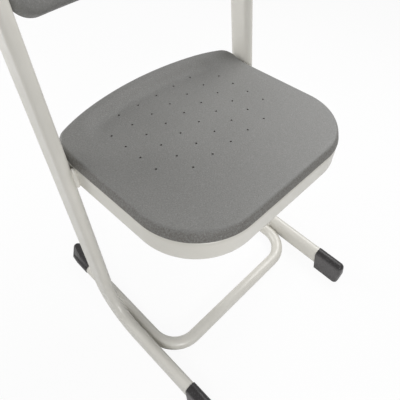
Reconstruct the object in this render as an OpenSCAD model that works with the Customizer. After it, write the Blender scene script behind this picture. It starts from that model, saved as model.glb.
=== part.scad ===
// Stacking chair on a sled base: two bent flat-oval side tubes, a round U-shaped base tube,
// a flat-oval seat ring, a double-skinned moulded seat with vent holes, and a moulded backrest.
// Millimetres. The sitter faces -Y, the floor is z = 0, and the origin is under the middle of the base.
// Left and right are as seen from in front, so the left side is -X.

/* [Frame] */
// Depth of the base over its foot caps
base_d = 492; // [480:1:530]
// Height of the upright tubes, measured on their middle line
frame_h = 800; // [770:1:860]
// Distance between the middle lines of the two side tubes
frame_gauge = 433; // [425:1:450]
// Rearward lean of the upright tubes, degrees
upright_rake = 10.8; // [7:0.1:12]
// How far behind the middle of the base the upright and runner lines meet
heel_setback = 61; // [50:1:70]
// Bend radius of the side tubes at the heel, on the middle line
heel_bend_r = 100; // [80:1:120]

/* [Side tubes] */
// Fore-and-aft depth of the flat-oval tube
side_tube_d = 46; // [42:0.5:50]
// Width of the flat-oval tube
side_tube_w = 21; // [18:0.5:24]
// Wall of the flat-oval tube
side_tube_wall = 2; // [1.2:0.1:3]

/* [Base tube] */
// Outer diameter of the round base tube
base_tube_dia = 26; // [22:0.5:30]
// Wall of the round base tube
base_tube_wall = 2; // [1.2:0.1:3]
// How far in front of the middle of the base its cross bar lies
cross_bar_forward = 104; // [90:1:125]
// Bend radius of the base tube, on the middle line
base_bend_r = 60; // [45:1:75]

/* [Seat ring] */
// Height of the ring's top above the floor at the middle of the vent field
ring_top_h = 413.3; // [390:0.1:440]
// How far behind the middle of the base the middle of the vent field lies
seat_setback = 63; // [55:1:70]
// Rearward slope of the seat, degrees
seat_tilt = 3.4; // [1:0.1:5]
// Height of the ring's flat-oval tube
ring_tube_h = 45.5; // [38:0.5:50]
// Width of the ring's flat-oval tube
ring_tube_w = 21; // [18:0.5:24]
// Wall of the ring's tube
ring_tube_wall = 2; // [1.2:0.1:3]
// Reach of the ring ahead of the middle of the vent field
ring_reach = 212; // [205:0.5:222]
// Outer radius of the ring's two front corners
ring_corner_r = 107; // [90:1:125]
// Gap between the ring's legs and the uprights, bridged by the welds
ring_side_gap = 4; // [2.5:0.1:6]

/* [Cross tube] */
// Diameter of the tube that ties the ring's legs together under the seat
tie_dia = 22; // [18:0.5:28]
// Wall of the cross tube
tie_wall = 2; // [1.2:0.1:3]
// How far behind the middle of the vent field the cross tube lies
tie_setback = 62; // [56:1:72]

/* [Seat] */
// Overhang of the seat's edge past the ring
seat_overhang = 0.2; // [0:0.1:2.2]
// Reach of the seat behind the middle of the vent field
seat_rear_reach = 142; // [134:0.5:150]
// Radius of the seat's bowed rear edge
seat_rear_bow_r = 500; // [450:5:900]
// Radius of the seat's rear corners
seat_rear_corner_r = 32; // [28:1:50]
// Height of the seat's top over the ring, at the middle
seat_rise = 14; // [12:0.5:18]
// Extra height of the seat's top near the two sides
seat_side_lift = 2.2; // [0:0.1:6]
// Width of the rolled edge at the front and the sides
seat_roll_w = 8; // [7:0.5:14]
// Width of the rolled edge round the middle of a front corner
seat_corner_roll_w = 10; // [8:0.5:18]
// Width of the rolled edge at the rear
seat_rear_roll_w = 9; // [7:0.5:14]
// Depth by which the seat's edge reaches below the ring's top
seat_skirt = 1; // [0:0.1:2]
// Height of the raised rear rim over the dish
rim_h = 16; // [6:0.5:18]
// Width of the rim's top at the rear
rim_flat = 13; // [8:0.5:18]
// Width of the rim's top at the sides
rim_side_flat = 40; // [24:1:50]
// Radius of the rim's two inner corners
rim_corner_r = 55; // [40:1:80]
// Width of the hollow slope from the rim down to the dish
rim_slope_w = 34; // [26:0.5:44]
// How far behind the middle of the vent field the rim starts to rise along the sides
rim_start = 45; // [20:1:60]
// Length over which it rises to its full height
rim_run = 75; // [50:1:90]
// Thickness of the moulded skins
skin_t = 3; // [2.4:0.1:3.4]

/* [Vent holes] */
// Diameter of a vent hole
vent_dia = 2.4; // [1.5:0.1:4]
// Sideways pitch of the vent holes
vent_pitch_x = 42; // [36:0.5:46]
// Fore-and-aft pitch of the vent holes
vent_pitch_y = 35.3; // [30:0.1:38]
// Vent holes in a full sideways row
vent_cols = 7; // [5:2:7]
// Rows of vent holes
vent_rows = 6; // [4:1:6]

/* [Backrest] */
// Height of the backrest
back_h = 190; // [150:1:210]
// How far the backrest's top lies below the tube ends
back_top_drop = 6; // [2:1:20]
// Sideways gap between the backrest and an upright
back_side_gap = 1.5; // [1:0.1:4]
// Depth of the backrest's sideways curve
back_bow = 24; // [12:1:30]
// Corner radius of the backrest
back_corner_r = 42; // [30:1:60]
// Width of the backrest's rolled edge
back_roll_w = 16; // [12:0.5:20]
// Depth of the backrest's rolled edge
back_roll_d = 18; // [15:0.5:22]
// Height of the brackets that hold the backrest
back_bracket_h = 70; // [50:1:90]

/* [Foot caps] */
// Length of a front cap
front_cap_len = 72; // [50:1:80]
// Width of a front cap at its sole
front_cap_w = 29; // [27:0.5:34]
// Thickness of the front cap's sole under the runner
front_sole = 7.5; // [5:0.5:10]
// Radius of the front cap's outer front corner, seen from above
front_nose_r = 6; // [5:0.5:13]
// Height of the front cap's upright nose
front_nose_h = 20; // [14:1:28]
// How far the front cap's rounded top lies behind its nose
front_top_back = 6; // [0:0.5:8]
// How far the front cap's sole stops short of its rear rim
front_rim_lean = 10; // [0:1:20]
// Length of a rear cap
rear_cap_len = 72; // [50:1:85]
// Width of a rear cap's flat sole
rear_cap_w = 12; // [8:0.5:22]
// Length of a rear cap beyond the end of its tube
rear_cap_end = 40; // [26:1:44]
// Radius of the rear cap's upright nose, seen from above
rear_nose_r = 9; // [6:0.5:11]
// Inward shift of that nose, which tapers the cap's outer side
rear_nose_in = 9; // [0:0.5:12]
// Bevel of the nose's upper and lower edges
rear_bevel = 4; // [1:0.5:5]
// Thickness of the rear cap's sole under the base tube
rear_sole = 5.5; // [3:0.5:8]
// Wall of a cap around its tube
cap_wall = 1.3; // [1:0.1:2.5]

/* [Fixings] */
// Length of a fixing lug along the ring
lug_len = 34; // [26:1:44]
// Thickness of the lugs and of the backrest brackets
lug_t = 3; // [2:0.5:4]
// Reach of a lug inwards from the ring
lug_reach = 24; // [20:1:30]
// How far ahead of the middle of the vent field the front lugs lie
lug_ahead = 72; // [60:1:80]
// How far behind the middle of the vent field the rear lugs lie
lug_behind = 24; // [10:1:28]
// Shank diameter of the fixing screws
screw_dia = 5; // [4:0.5:6]

/* [Hidden] */

// The overrun of every cut, and the gap between pieces that only touch
overrun = 1;
touch_gap = 0.3;
// Growth of the flat-oval section all round where it is bent
bend_swell = 0.1;
// Facets of circles, and of the children of a hull
$fn = 48;
hull_fn = 32;

paint = [0.80, 0.79, 0.76];
seat_grey = [0.51, 0.51, 0.50];
cap_grey = [0.22, 0.22, 0.23];
steel = [0.66, 0.67, 0.68];

// Runner and base tube heights, set by the soles they stand on
runner_z = front_sole + side_tube_d / 2;
base_tube_z = rear_sole + base_tube_dia / 2;
side_inner_x = frame_gauge / 2 - side_tube_w / 2;
base_leg_x = side_inner_x - touch_gap - base_tube_dia / 2;
heel_turn = 90 - upright_rake;
heel_tangent = heel_bend_r * tan(heel_turn / 2);

// Where the upright's middle line lies at a height z
function upright_y(z) = heel_setback + (z - runner_z) * tan(upright_rake);
front_end_t = front_nose_r + front_top_back + cap_wall;
runner_tip = base_d / 2 - front_end_t - touch_gap;
base_leg_tip = base_d / 2 - rear_cap_end - touch_gap;

// The seat ring's plan, in the tilted seat frame
ring_mid_h = ring_top_h - ring_tube_h / 2;
ring_leg_end = (upright_y(ring_mid_h) + side_tube_d / 2 - seat_setback) / cos(seat_tilt);
ring_weld_v = (upright_y(ring_mid_h) - seat_setback) / cos(seat_tilt);
ring_weld_h = ring_mid_h - ring_weld_v * sin(seat_tilt);
ring_half_w = side_inner_x - ring_side_gap;
ring_bend_r = ring_corner_r - ring_tube_w / 2;
ring_bend_v = ring_corner_r - ring_reach;
ring_bend_x = ring_half_w - ring_corner_r;

// The seat's plan follows the ring with an overhang
seat_half_w = ring_half_w + seat_overhang;
seat_reach = ring_reach + seat_overhang;
seat_corner_r = ring_corner_r + seat_overhang;

// The field of vent holes leaves out its four corner holes
vent_field = [for (row = [0 : vent_rows - 1], col = [0 : vent_cols - 1])
    if (!((row == 0 || row == vent_rows - 1) && (col == 0 || col == vent_cols - 1)))
        [(col - (vent_cols - 1) / 2) * vent_pitch_x, (row - (vent_rows - 1) / 2) * vent_pitch_y]];

// Shares of the rolled edge: distance in from the edge, and height gained
roll_shares = [[0, 0], [0.12, 0.25], [0.24, 0.50], [0.36, 0.72], [0.50, 0.87], [0.72, 0.96], [1, 1]];
// Shares of the way in from the rolled edge to the middle of a moulding
dish_shares = [0.93, 0.85, 0.76, 0.66, 0.52, 0.34, 0.15];

// Share of the rear rim's lift that the seat's edge and underside follow
rim_edge_share = 0.5;
// Shares of the way out from the middle of a closing skin, where it has its rings
closing_shares = [0.35, 0.66, 0.76, 0.85, 0.93, 1];

// Weld beads: the leg of a bead, and the length of a bead on the base tube
weld_leg = 9;
base_weld_len = 20;

// Screws: shank length, head diameter and head height follow the shank's diameter
screw_len = 4 * screw_dia;
back_screw_len = 3 * screw_dia;
screw_head_dia = 2 * screw_dia;
screw_head_h = 0.6 * screw_dia;
boss_dia = 3 * screw_dia;

// Ribs under the seat, which run fore and aft between the rows of holes
rib_t = 2;
rib_h = 5;
rib_ahead = 120;
rib_behind = 40;

// Plugs: thickness of the head and depth of the shank
plug_head_t = 2.5;
plug_shank = 14;

// Backrest in the plane of the upright tubes
back_w = frame_gauge - side_tube_w - 2 * back_side_gap;
back_mid_h = frame_h - (back_top_drop + back_h / 2) * cos(upright_rake);
back_tab_x = back_w / 2 - back_roll_w - lug_reach / 2;

// An outline is a list of [point, outward normal], run counterclockwise, and with_roll adds the
// width of the rolled edge at each point
function arc_run(centre, r, a0, a1, n) = [for (i = [0 : n])
    let (a = a0 + (a1 - a0) * i / n, d = [cos(a), sin(a)]) [centre + r * d, d]];
function line_run(a, b, n, normal) = [for (i = [1 : n - 1]) [a + (b - a) * i / n, normal]];
function mirrored(run) = [for (i = [len(run) - 1 : -1 : 0])
    [[-run[i][0][0], run[i][0][1]], [-run[i][1][0], run[i][1][1]]]];
function with_roll(outline, roll_w) = [for (o = outline) [o[0], o[1], roll_w(o[0])]];
function inset_by(outline, inset) = [for (o = outline) [o[0] - inset * o[1], o[1], o[2] - inset]];
function but_last(list) = [for (i = [0 : len(list) - 2]) list[i]];
function reversed(list) = [for (i = [len(list) - 1 : -1 : 0]) list[i]];
function eased(t) = t <= 0 ? 0 : t >= 1 ? 1 : (1 - cos(180 * t)) / 2;

// Seat outline: straight front and sides, bowed rear edge, four rounded corners.
// The circle of a rear corner touches the side line and the bow of the rear edge.
rear_bow_y = seat_rear_reach - seat_rear_bow_r;
function corner_centre(half_w, bow_r, corner_r) =
    [half_w - corner_r, rear_bow_y + sqrt(pow(bow_r - corner_r, 2) - pow(half_w - corner_r, 2))];
front_corner = [seat_half_w - seat_corner_r, seat_corner_r - seat_reach];
rear_corner = corner_centre(seat_half_w, seat_rear_bow_r, seat_rear_corner_r);
rear_bow_a = atan2(rear_corner[1] - rear_bow_y, rear_corner[0]);
seat_half = let (front = arc_run(front_corner, seat_corner_r, -90, 0, 9),
        rear = arc_run(rear_corner, seat_rear_corner_r, 0, rear_bow_a, 6),
        bow = arc_run([0, rear_bow_y], seat_rear_bow_r, rear_bow_a, 90, 6))
    concat(line_run([0, -seat_reach], front[0][0], 3, [0, -1]), front,
        line_run(front[9][0], rear[0][0], 7, [1, 0]), rear, [for (i = [1 : 6]) bow[i]]);
seat_plan = concat([[[0, -seat_reach], [0, -1]]], seat_half, mirrored(but_last(seat_half)));

// The raised rim: its share of full height at a point, and the share by distance from the rear only.
// Its inner edge runs beside the bow of the rear edge and turns forward in a wide corner.
rim_corner = corner_centre(seat_half_w - rim_side_flat, seat_rear_bow_r - rim_flat, rim_corner_r);
function rim_share(p) = let (q = [abs(p[0]), p[1]], from_bow = q - [0, rear_bow_y], from_corner = q - rim_corner,
        beyond = cross(rim_corner - [0, rear_bow_y], from_bow) >= 0
            ? norm(from_bow) - seat_rear_bow_r + rim_flat
            : max(from_corner[0], from_corner[1] > 0 ? norm(from_corner) : 0) - rim_corner_r)
    eased(1 + beyond / rim_slope_w) * eased((p[1] - rim_start) / rim_run);
function rear_share(p) = let (from_edge = seat_rear_bow_r - norm(p - [0, rear_bow_y]))
    eased((rim_flat + rim_slope_w - from_edge) / rim_slope_w);

// Share of the way round a front corner, from 0 at its two ends to 1 in its middle
function front_corner_share(p) = let (d = [abs(p[0]), p[1]] - front_corner)
    d[0] > 0 && d[1] < 0 ? pow(2 * d[0] * d[1] / (d * d), 2) : 0;

// Heights of the seat's top, edge and underside over the ring's plane, and the width of its roll
function seat_height(p) = seat_rise + seat_side_lift * pow(p[0] / seat_half_w, 2) + rim_h * rim_share(p);
function seat_edge(p) = rim_h * rear_share(p) * rim_edge_share - seat_skirt;
function seat_under(p) = rim_h * rear_share(p) * rim_edge_share + touch_gap;
function seat_roll(p) = seat_roll_w + (seat_rear_roll_w - seat_roll_w) * rear_share(p)
    + (seat_corner_roll_w - seat_roll_w) * front_corner_share(p);
seat_outline = with_roll(seat_plan, function(p) seat_roll(p));

// Backrest outline: a rounded rectangle, bowed rearward in its middle
back_corner = [back_w / 2 - back_corner_r, back_h / 2 - back_corner_r];
back_half = let (low = arc_run([back_corner[0], -back_corner[1]], back_corner_r, -90, 0, 6),
        high = arc_run(back_corner, back_corner_r, 0, 90, 6))
    concat(line_run([0, -back_h / 2], low[0][0], 6, [0, -1]), low,
        line_run(low[6][0], high[0][0], 3, [1, 0]), high,
        line_run(high[6][0], [0, back_h / 2], 6, [0, 1]), [[[0, back_h / 2], [0, 1]]]);
back_plan = concat([[[0, -back_h / 2], [0, -1]]], back_half, mirrored(but_last(back_half)));
back_outline = with_roll(back_plan, function(p) back_roll_w);
function back_bowed(p) = back_bow * pow(p[0] / (back_w / 2), 2);

// Rings of points on a moulding: one on its rolled edge, one on the dish inside the roll
function roll_ring(outline, share, edge, top, gain) = [for (o = outline)
    let (p = o[0] - share * o[2] * o[1], crease = o[0] - o[2] * o[1])
        [p[0], p[1], edge(p) + (top(crease) - edge(p)) * gain]];
function dish_ring(outline, share, height) = [for (o = outline)
    let (p = (o[0] - o[2] * o[1]) * share) [p[0], p[1], height(p)]];
function plate_ring(points, share, height) = [for (q = points) let (p = q * share) [p[0], p[1], height(p)]];
function ring_middle(ring) = [for (i = [0 : len(ring) - 1]) 1] * ring / len(ring);

// A closed solid over a list of equal rings, whose first and last rings close onto their middles
module lofted(rings) {
    n = len(rings[0]);
    count = len(rings);
    points = concat([for (ring = rings) each ring],
        [ring_middle(rings[0]), ring_middle(rings[count - 1])]);
    faces = concat(
        [for (i = [0 : n - 1]) [count * n, (i + 1) % n, i]],
        [for (k = [0 : count - 2], i = [0 : n - 1]) [k * n + i, k * n + (i + 1) % n, (k + 1) * n + i]],
        [for (k = [0 : count - 2], i = [0 : n - 1])
            [k * n + (i + 1) % n, (k + 1) * n + (i + 1) % n, (k + 1) * n + i]],
        [for (i = [0 : n - 1]) [count * n + 1, (count - 1) * n + i, (count - 1) * n + (i + 1) % n]]);
    polyhedron(points = points, faces = faces, convexity = 8);
}

// The visible skin of a moulding: a dish with a rolled edge, hollow on its other side
module moulded_skin(outline, edge, top) {
    under = function(p) top(p) - skin_t;
    inner = inset_by(outline, skin_t);
    lofted(concat(
        [for (s = reversed(dish_shares)) dish_ring(outline, s, top)],
        [for (r = reversed(roll_shares)) roll_ring(outline, r[0], edge, top, r[1])],
        [for (r = roll_shares) roll_ring(inner, r[0], edge, under, r[1])],
        [for (s = dish_shares) dish_ring(outline, s, under)]));
}

// The skin that closes a moulding from behind. Its rim stays clear of the moulding's wall, which
// leans inwards as it rises.
module closing_skin(outline, edge, top, height) {
    far = function(p) height(p) + skin_t;
    lean_by_gain = [for (r = roll_shares) [r[1], r[0]]];
    rim = [for (o = inset_by(outline, skin_t))
        let (p = o[0], crease = p - o[2] * o[1], gain = (far(p) - edge(p)) / (top(crease) - skin_t - edge(p)))
            p - (2 * touch_gap + o[2] * lookup(gain, lean_by_gain)) * o[1]];
    lofted(concat([for (s = closing_shares) plate_ring(rim, s, far)],
        [for (s = reversed(closing_shares)) plate_ring(rim, s, height)]));
}

// Flat-oval and round tube sections
module flat_oval(long, short) {
    square([long - short, short], center = true);
    for (end = [-1, 1]) translate([end * (long - short) / 2, 0]) circle(d = short);
}
module flat_oval_tube(long, short, wall) {
    difference() {
        flat_oval(long, short);
        flat_oval(long - 2 * wall, short - 2 * wall);
    }
}
module round_tube(dia, wall) {
    difference() {
        circle(d = dia);
        circle(d = dia - 2 * wall);
    }
}
module side_section(swell = 0) {
    flat_oval_tube(side_tube_d + 2 * swell, side_tube_w + 2 * swell, side_tube_wall + 2 * swell);
}
module base_section() { round_tube(base_tube_dia, base_tube_wall); }
module ring_section() { rotate(90) flat_oval_tube(ring_tube_h, ring_tube_w, ring_tube_wall); }

// Places and frames
module both_sides() {
    children();
    mirror([1, 0, 0]) children();
}
module on_side(side) {
    if (side < 0) mirror([1, 0, 0]) children();
    else children();
}
module in_upright_frame(z) {
    translate([frame_gauge / 2, upright_y(z), z]) rotate([-upright_rake, 0, 0]) children();
}
module in_seat_frame() {
    translate([0, seat_setback, ring_top_h]) rotate([-seat_tilt, 0, 0]) children();
}
module at_lugs() {
    both_sides() for (v = [-lug_ahead, lug_behind])
        translate([ring_half_w - ring_tube_w - touch_gap, v, -ring_tube_w / 2]) children();
}
module in_back_frame() {
    translate([0, upright_y(back_mid_h), back_mid_h]) rotate([90 - upright_rake, 0, 0])
        translate([0, 0, -back_roll_d / 2 - back_bow]) children();
}
back_tab_slope = atan(2 * back_bow * back_tab_x / pow(back_w / 2, 2));
module at_back_tab() {
    translate([back_tab_x, 0, back_bowed([back_tab_x, 0])]) rotate([0, -back_tab_slope, 0]) children();
}
module at_back_screws() {
    for (end = [-1, 1]) translate([0, end * (back_bracket_h - lug_reach) / 2, 0]) children();
}

// Side frame: upright, heel bend and floor runner in one flat-oval tube
module side_tube(side) {
    bend_y = heel_setback - heel_tangent;
    bend_z = runner_z + heel_bend_r;
    upright_len = (frame_h - bend_z + heel_bend_r * sin(upright_rake)) / cos(upright_rake);
    color(paint) translate([side * frame_gauge / 2, bend_y, bend_z]) {
        rotate([90, 0, 90]) rotate([0, 0, -90])
            rotate_extrude(angle = heel_turn) translate([heel_bend_r, 0]) side_section(bend_swell);
        translate([0, overrun, -heel_bend_r]) rotate([90, 0, 0])
            linear_extrude(overrun + runner_tip + bend_y) rotate(90) side_section();
        rotate([-upright_rake, 0, 0]) translate([0, heel_bend_r, -overrun])
            linear_extrude(overrun + upright_len) rotate(90) side_section();
    }
}

// Base tube: cross bar, two bends and two legs in one round tube
module base_tube() {
    bend_x = base_leg_x - base_bend_r;
    bend_y = base_bend_r - cross_bar_forward;
    color(paint) translate([0, 0, base_tube_z]) both_sides() {
        translate([0, -cross_bar_forward, 0]) rotate([90, 0, 90]) linear_extrude(bend_x) base_section();
        translate([bend_x, bend_y, 0]) {
            rotate([0, 0, -90]) rotate_extrude(angle = 90) translate([base_bend_r, 0]) base_section();
            translate([base_bend_r, 0, 0]) rotate([-90, 0, 0])
                linear_extrude(base_leg_tip - bend_y) base_section();
        }
    }
}

// Seat ring: front bar, two corner bends and two legs in one flat-oval tube
module seat_ring() {
    color(paint) in_seat_frame() translate([0, 0, -ring_tube_h / 2]) both_sides() {
        translate([0, ring_tube_w / 2 - ring_reach, 0]) rotate([90, 0, 90])
            linear_extrude(ring_bend_x) ring_section();
        translate([ring_bend_x, ring_bend_v, 0]) {
            rotate([0, 0, -90])
                rotate_extrude(angle = 90) translate([ring_bend_r, 0]) ring_section();
            translate([ring_bend_r, 0, 0]) rotate([-90, 0, 0])
                linear_extrude(ring_leg_end - ring_bend_v) ring_section();
        }
    }
}

// Round tube that ties the ring's two legs together
module seat_cross_tube() {
    half_len = ring_half_w - ring_tube_w - touch_gap;
    color(paint) in_seat_frame() translate([-half_len, tie_setback, -ring_tube_h / 2])
        rotate([90, 0, 90]) linear_extrude(2 * half_len) round_tube(tie_dia, tie_wall);
}

// Weld beads in the nooks before and behind each upright, against the flat of the ring's legs
module ring_welds() {
    bead_h = ring_tube_h - ring_tube_w;
    nose = (side_tube_d - side_tube_w) / 2;
    nose_r = side_tube_w / 2 + touch_gap;
    face = ring_half_w + touch_gap - frame_gauge / 2;
    color(paint) both_sides() in_upright_frame(ring_weld_h) for (end = [-1, 1])
        translate([0, 0, -bead_h / 2]) linear_extrude(bead_h) difference() {
            polygon([[face, end * nose], [face, end * (nose + weld_leg)],
                [-nose_r * cos(45), end * (nose + nose_r * sin(45))], [-nose_r / 2, end * nose]]);
            upright_clearance();
        }
}
module upright_clearance() {
    rotate(90) flat_oval(side_tube_d + 2 * touch_gap, side_tube_w + 2 * touch_gap);
}

// Weld beads above and below the line where the base tube's legs lie against the runners
module base_welds() {
    color(paint) both_sides() translate([0, heel_setback - heel_tangent, 0]) rotate([90, 0, 0])
        linear_extrude(base_weld_len) for (end = [-1, 1]) difference() {
            translate([side_inner_x, base_tube_z + end * weld_leg]) circle(d = weld_leg);
            translate([base_leg_x, base_tube_z]) circle(d = base_tube_dia + 2 * touch_gap);
            translate([frame_gauge / 2, runner_z]) upright_clearance();
        }
}

// A flat tab with rounded free corners, whose root lies on the y axis
module tab(reach, width) {
    corner_r = min(reach, width) / 4;
    translate([-reach, corner_r - width / 2]) square([reach, width - 2 * corner_r]);
    translate([corner_r - reach, -width / 2]) square([reach - corner_r, width]);
    for (end = [-1, 1]) translate([corner_r - reach, end * (width / 2 - corner_r)]) circle(r = corner_r);
}

// Lugs on the ring's legs that the seat's bosses stand on
module seat_lugs() {
    color(paint) in_seat_frame() at_lugs() translate([0, 0, -lug_t]) linear_extrude(lug_t)
        difference() {
            tab(lug_reach, lug_len);
            translate([-lug_reach / 2, 0]) circle(d = screw_dia + 2 * touch_gap);
        }
}

// Upper skin of the seat: a dish with a rolled edge, a raised rear rim and a field of vent holes
module seat_top_shell() {
    floor_h = seat_rise - skin_t - overrun;
    color(seat_grey) in_seat_frame() difference() {
        moulded_skin(seat_outline, function(p) seat_edge(p), function(p) seat_height(p));
        for (hole = vent_field) translate([hole[0], hole[1], floor_h])
            cylinder(d = vent_dia, h = skin_t + seat_side_lift + rim_h + 2 * overrun);
    }
}

// Lower skin of the seat, with ribs below it and four screw bosses that stand on the lugs
module seat_bottom_shell() {
    color(seat_grey) in_seat_frame() difference() {
        union() {
            closing_skin(seat_outline, function(p) seat_edge(p), function(p) seat_height(p),
                function(p) seat_under(p));
            at_lugs() translate([-lug_reach / 2, 0, touch_gap])
                cylinder(d = boss_dia, h = ring_tube_w / 2 + seat_rise - skin_t - 2 * touch_gap);
            for (k = [0 : vent_cols - 2])
                translate([(k - vent_cols / 2 + 1) * vent_pitch_x - rib_t / 2, -rib_ahead, -rib_h])
                    cube([rib_t, rib_ahead + rib_behind, rib_h + touch_gap + skin_t / 2]);
        }
        at_lugs() translate([-lug_reach / 2, 0, -overrun])
            cylinder(d = screw_dia + 2 * touch_gap, h = screw_len + overrun);
    }
}

// A pan-head screw that points up from the underside of its head
module screw(length) {
    difference() {
        union() {
            translate([0, 0, -screw_head_h]) cylinder(d = screw_head_dia, h = screw_head_h);
            cylinder(d = screw_dia, h = length);
        }
        translate([0, 0, -screw_head_h - overrun])
            cylinder(d = screw_dia, h = overrun + screw_head_h / 2, $fn = 6);
    }
}
module seat_screws() {
    color(steel) in_seat_frame() at_lugs()
        translate([-lug_reach / 2, 0, -lug_t - touch_gap]) screw(screw_len);
}

// Backrest: its front skin with a rolled edge, and the rear skin that closes it
module back_front_shell() {
    color(seat_grey) in_back_frame() moulded_skin(back_outline, function(p) back_bowed(p),
        function(p) back_roll_d + back_bowed(p));
}
module back_rear_shell() {
    boss_h = (back_roll_d - skin_t) * cos(back_tab_slope) - touch_gap;
    color(seat_grey) in_back_frame() difference() {
        union() {
            closing_skin(back_outline, function(p) back_bowed(p), function(p) back_roll_d + back_bowed(p),
                function(p) back_bowed(p));
            both_sides() at_back_tab() at_back_screws()
                translate([0, 0, skin_t / 2]) cylinder(d = boss_dia, h = boss_h - skin_t / 2);
        }
        both_sides() at_back_tab() at_back_screws()
            translate([0, 0, -overrun]) cylinder(d = screw_dia + 2 * touch_gap, h = boss_h);
    }
}

// Bracket: a flat tab behind the rear skin, welded by its edge to the upright's inner face
module back_bracket(side) {
    root_x = (side_inner_x - touch_gap - back_tab_x - (lug_t + touch_gap) * sin(back_tab_slope))
        / cos(back_tab_slope);
    color(paint) on_side(side) in_back_frame() at_back_tab() translate([0, 0, -lug_t - touch_gap])
        linear_extrude(lug_t) difference() {
            translate([root_x, 0]) tab(root_x + lug_reach / 2, back_bracket_h);
            at_back_screws() circle(d = screw_dia + 2 * touch_gap);
        }
}
module back_screws() {
    color(steel) both_sides() in_back_frame() at_back_tab() at_back_screws()
        translate([0, 0, -lug_t - 2 * touch_gap]) screw(back_screw_len);
}

// Front foot cap: a sleeve on the runner's end, wider at its flat sole, with a rounded nose
module front_cap(side) {
    top_r = side_tube_w / 2 + cap_wall;
    top_z = runner_z + (side_tube_d - side_tube_w) / 2;
    half_w = front_cap_w / 2;
    inner_r = front_nose_r / 2;
    color(cap_grey) on_side(side) translate([frame_gauge / 2, -base_d / 2, 0]) difference() {
        hull() {
            translate([0, front_cap_len, top_z]) rotate([90, 0, 0])
                cylinder(r = top_r, h = front_cap_len - front_nose_r - front_top_back, $fn = hull_fn);
            translate([0, top_r + front_top_back, top_z - front_nose_r]) sphere(r = top_r, $fn = hull_fn);
            translate([half_w - front_nose_r, front_nose_r, 0])
                cylinder(r = front_nose_r, h = front_nose_h, $fn = hull_fn);
            translate([inner_r - half_w, inner_r, 0])
                cylinder(r = inner_r, h = front_nose_h, $fn = hull_fn);
            translate([-half_w, front_nose_r, 0])
                cube([front_cap_w, front_cap_len - front_nose_r - front_rim_lean, front_sole]);
        }
        translate([0, front_cap_len + overrun, runner_z]) rotate([90, 0, 0])
            linear_extrude(front_cap_len + overrun - front_end_t) upright_clearance();
    }
}

// Rear foot cap: a round sleeve on the base tube's end with a flat sole. Its outer side tapers to an
// upright nose.
module rear_cap(side) {
    sleeve_r = base_tube_dia / 2 + cap_wall;
    half_w = rear_cap_w / 2;
    top_z = base_tube_z + sleeve_r;
    color(cap_grey) on_side(side) translate([base_leg_x, base_d / 2, 0]) difference() {
        hull() {
            translate([0, cap_wall - rear_cap_end, base_tube_z]) rotate([90, 0, 0])
                cylinder(r = sleeve_r, h = rear_cap_len + cap_wall - rear_cap_end, $fn = hull_fn);
            translate([-half_w, -rear_cap_len, 0])
                cube([rear_cap_w, rear_cap_len + cap_wall - rear_cap_end, rear_sole]);
            translate([-rear_nose_in, -rear_nose_r, 0]) {
                cylinder(r = rear_nose_r - rear_bevel, h = top_z, $fn = hull_fn);
                translate([0, 0, rear_sole])
                    cylinder(r = rear_nose_r, h = top_z - rear_bevel - rear_sole, $fn = hull_fn);
            }
        }
        translate([0, -rear_cap_end, base_tube_z]) rotate([90, 0, 0])
            cylinder(d = base_tube_dia + 2 * touch_gap, h = rear_cap_len + overrun - rear_cap_end);
    }
}

// Plugs in the open tube ends: a head over the end and a shank inside it
module plug(long, short, wall) {
    slack = 2 * wall + 2 * touch_gap;
    translate([0, 0, touch_gap]) linear_extrude(plug_head_t) flat_oval(long, short);
    translate([0, 0, -plug_shank]) linear_extrude(plug_shank + touch_gap + plug_head_t / 2)
        flat_oval(long - slack, short - slack);
}
module top_plug(side) {
    color(cap_grey) on_side(side) in_upright_frame(frame_h)
        rotate(90) plug(side_tube_d, side_tube_w, side_tube_wall);
}
module ring_end_plugs() {
    color(cap_grey) in_seat_frame() both_sides()
        translate([ring_half_w - ring_tube_w / 2, ring_leg_end, -ring_tube_h / 2]) rotate([-90, 0, 0])
            rotate(90) plug(ring_tube_h, ring_tube_w, ring_tube_wall);
}

side_tube(-1);  // side_tube_left
side_tube(1);  // side_tube_right
base_tube();
seat_ring();
seat_cross_tube();
ring_welds();
base_welds();
seat_lugs();
seat_top_shell();
seat_bottom_shell();
seat_screws();
back_front_shell();
back_rear_shell();
back_bracket(-1);  // back_bracket_left
back_bracket(1);  // back_bracket_right
back_screws();
front_cap(-1);  // front_cap_left
front_cap(1);  // front_cap_right
rear_cap(-1);  // rear_cap_left
rear_cap(1);  // rear_cap_right
top_plug(-1);  // top_plug_left
top_plug(1);  // top_plug_right
ring_end_plugs();
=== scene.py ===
# A stacking chair on a sled base: two bent flat-oval side tubes, a round U-shaped base tube and a
# flat-oval seat ring, all welded steel with a powder coat, and a moulded seat and backrest.
import math
import random

import bmesh
import bpy
import numpy as np
from mathutils import Matrix, Vector
from mathutils.geometry import delaunay_2d_cdt


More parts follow.
